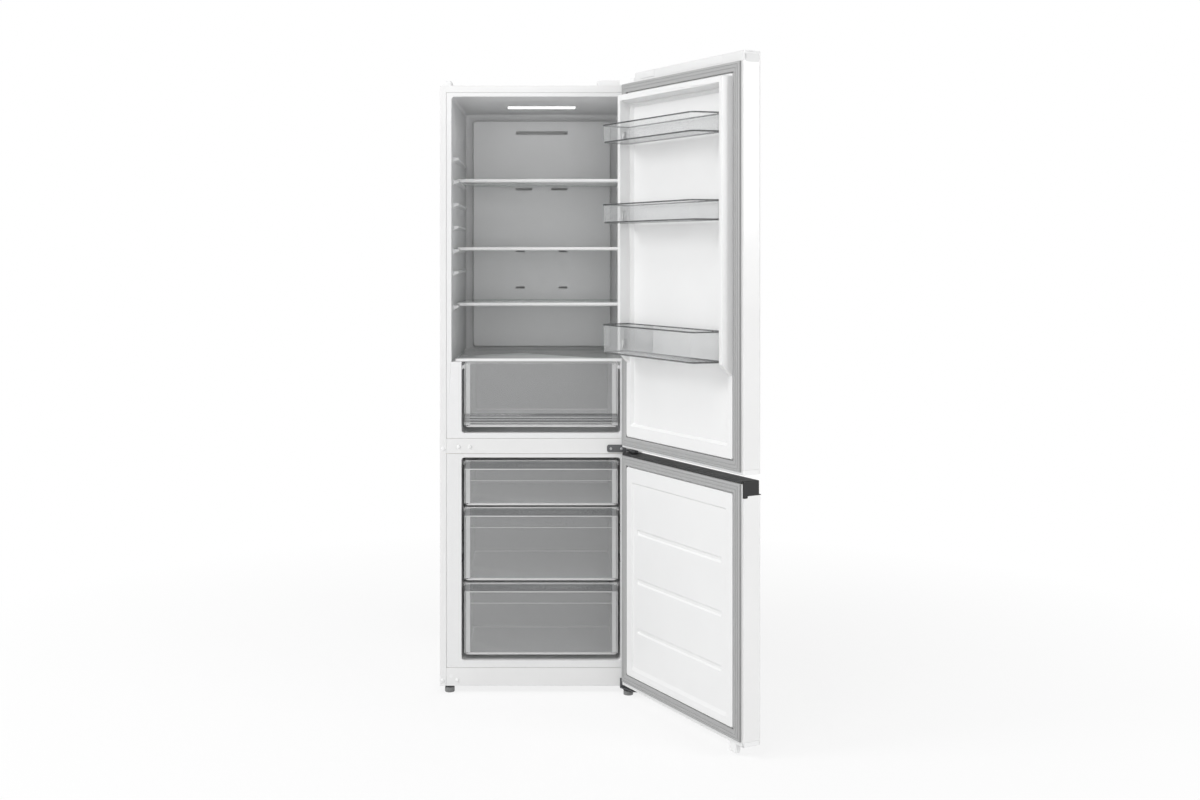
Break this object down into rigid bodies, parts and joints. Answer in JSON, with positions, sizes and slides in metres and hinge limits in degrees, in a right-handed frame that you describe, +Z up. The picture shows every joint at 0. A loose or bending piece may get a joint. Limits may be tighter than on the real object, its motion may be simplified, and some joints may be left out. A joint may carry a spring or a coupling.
{
  "type": "bottom freezer refrigerator",
  "caption": "Free-standing white refrigerator with a fridge compartment above a freezer, both doors hinged on the right and standing open, with shelves, drawers and door bins.",
  "frame": {"origin": "middle of the whole part's footprint at floor level, with both doors standing open as at rest", "axes": "+X to the right for someone facing the cabinet, +Y back into the cabinet, +Z up"},
  "size_m": [0.865, 1.124, 1.811],
  "materials": {
    "steel_white": "smooth satin paint",
    "zinc_plate": "dull zinc plate",
    "foam": "rigid closed-cell foam",
    "liner_grey": "satin vacuum-formed sheet",
    "liner_white": "satin vacuum-formed sheet",
    "gasket_grey": "soft matt extrusion",
    "lamp_white": "frosted diffuser",
    "shelf_glass": "clear toughened glass",
    "trim_white": "satin moulding",
    "drawer_frost": "translucent moulding",
    "bin_smoke": "clear tinted moulding",
    "grip_dark": "fine-grained moulding",
    "hinge_dark": "satin coated steel",
    "machine_black": "semi-gloss paint",
    "fin_aluminium": "bare rolled sheet",
    "foot_grey": "moulded",
    "roller_black": "moulded"
  },
  "bodies": {
    "cabinet": {"cabinet_shell": "steel_white", "back_panel": "steel_white", "floor_plate": "zinc_plate", "cabinet_foam": "foam", "mullion_bar": "steel_white", "bottom_rail": "steel_white", "fridge_liner": "liner_grey", "freezer_liner": "liner_white", "lamp_lens": "lamp_white", "fridge_duct_panel": "liner_grey", "freezer_duct_panel": "liner_white", "crisper_cover_glass": "shelf_glass", "crisper_cover_trim": "trim_white", "top_hinge": "hinge_dark", "top_hinge_cover": "trim_white", "hinge_blank_cover": "trim_white", "mid_hinge": "hinge_dark", "bottom_hinge": "hinge_dark", "base_pan": "zinc_plate", "compressor": "machine_black", "drip_tray": "machine_black", "compressor_cover": "steel_white", "evaporator": "fin_aluminium", "fan_motor": "machine_black", "roller_axle_left": "zinc_plate", "roller_axle_right": "zinc_plate"},
    "upper_door": {"upper_door_skin": "steel_white", "upper_door_foam": "foam", "upper_door_liner": "liner_white", "upper_door_gasket": "gasket_grey", "upper_door_top_cap": "trim_white", "upper_door_bottom_cap": "trim_white"},
    "lower_door": {"lower_door_skin": "steel_white", "lower_door_foam": "foam", "lower_door_liner": "liner_white", "lower_door_gasket": "gasket_grey", "handle_profile": "grip_dark", "handle_end_cap_left": "grip_dark", "handle_end_cap_right": "grip_dark", "lower_door_bottom_cap": "trim_white"},
    "crisper_drawer_body": {"crisper_drawer": "drawer_frost"},
    "freezer_drawer_top_body": {"freezer_drawer_top": "drawer_frost"},
    "freezer_drawer_middle_body": {"freezer_drawer_middle": "drawer_frost"},
    "freezer_drawer_bottom_body": {"freezer_drawer_bottom": "drawer_frost"},
    "shelf_1": {"shelf_glass_1": "shelf_glass", "shelf_trim_1": "trim_white"},
    "shelf_2": {"shelf_glass_2": "shelf_glass", "shelf_trim_2": "trim_white"},
    "shelf_3": {"shelf_glass_3": "shelf_glass", "shelf_trim_3": "trim_white"},
    "door_bin_top_body": {"door_bin_top": "bin_smoke"},
    "door_bin_middle_body": {"door_bin_middle": "bin_smoke"},
    "door_bin_bottom_body": {"door_bin_bottom": "bin_smoke"},
    "foot_left": {"front_foot_left": "foot_grey"},
    "foot_right": {"front_foot_right": "foot_grey"},
    "roller_left": {"rear_roller_left": "roller_black"},
    "roller_right": {"rear_roller_right": "roller_black"},
    "fan": {"evaporator_fan": "trim_white"}
  },
  "joints": [
    {"name": "upper_door_hinge", "type": "hinge", "parent": "cabinet", "child": "upper_door", "pos_m": [0.13848, -0.04599, 1.26875], "axis": [0, 0, 1], "range_deg": [-118.3, 1.7]},
    {"name": "lower_door_hinge", "type": "hinge", "parent": "cabinet", "child": "lower_door", "pos_m": [0.13848, -0.04599, 0.372], "axis": [0, 0, 1], "range_deg": [-118.3, 1.7]},
    {"name": "crisper_drawer_slide", "type": "slide", "parent": "cabinet", "child": "crisper_drawer_body", "axis": [0, -1, 0], "range_m": [0, 0.36]},
    {"name": "freezer_drawer_top_slide", "type": "slide", "parent": "cabinet", "child": "freezer_drawer_top_body", "axis": [0, -1, 0], "range_m": [0, 0.36]},
    {"name": "freezer_drawer_middle_slide", "type": "slide", "parent": "cabinet", "child": "freezer_drawer_middle_body", "axis": [0, -1, 0], "range_m": [0, 0.36]},
    {"name": "freezer_drawer_bottom_slide", "type": "slide", "parent": "cabinet", "child": "freezer_drawer_bottom_body", "axis": [0, -1, 0], "range_m": [0, 0.26]},
    {"name": "shelf_1_slide", "type": "slide", "parent": "cabinet", "child": "shelf_1", "axis": [0, -1, 0], "range_m": [0, 0.06]},
    {"name": "shelf_2_slide", "type": "slide", "parent": "cabinet", "child": "shelf_2", "axis": [0, -1, 0], "range_m": [0, 0.06]},
    {"name": "shelf_3_slide", "type": "slide", "parent": "cabinet", "child": "shelf_3", "axis": [0, -1, 0], "range_m": [0, 0.06]},
    {"name": "door_bin_top_lift", "type": "slide", "parent": "upper_door", "child": "door_bin_top_body", "axis": [0, 0, 1], "range_m": [0, 0.035]},
    {"name": "door_bin_middle_lift", "type": "slide", "parent": "upper_door", "child": "door_bin_middle_body", "axis": [0, 0, 1], "range_m": [0, 0.035]},
    {"name": "door_bin_bottom_lift", "type": "slide", "parent": "upper_door", "child": "door_bin_bottom_body", "axis": [0, 0, 1], "range_m": [0, 0.035]},
    {"name": "foot_left_turn", "type": "hinge", "parent": "cabinet", "child": "foot_left", "pos_m": [-0.40402, 0.00601, 0.01], "axis": [0, 0, 1], "continuous": true},
    {"name": "foot_right_turn", "type": "hinge", "parent": "cabinet", "child": "foot_right", "pos_m": [0.12098, -0.02299, 0.01], "axis": [0, 0, 1], "continuous": true},
    {"name": "roller_left_turn", "type": "hinge", "parent": "cabinet", "child": "roller_left", "pos_m": [-0.39052, 0.52801, 0.016], "axis": [1, 0, 0], "continuous": true},
    {"name": "roller_right_turn", "type": "hinge", "parent": "cabinet", "child": "roller_right", "pos_m": [0.12048, 0.52801, 0.016], "axis": [1, 0, 0], "continuous": true},
    {"name": "fan_spin", "type": "hinge", "parent": "cabinet", "child": "fan", "pos_m": [-0.13502, 0.43551, 0.6165], "axis": [0, 1, 0], "continuous": true}
  ]
}
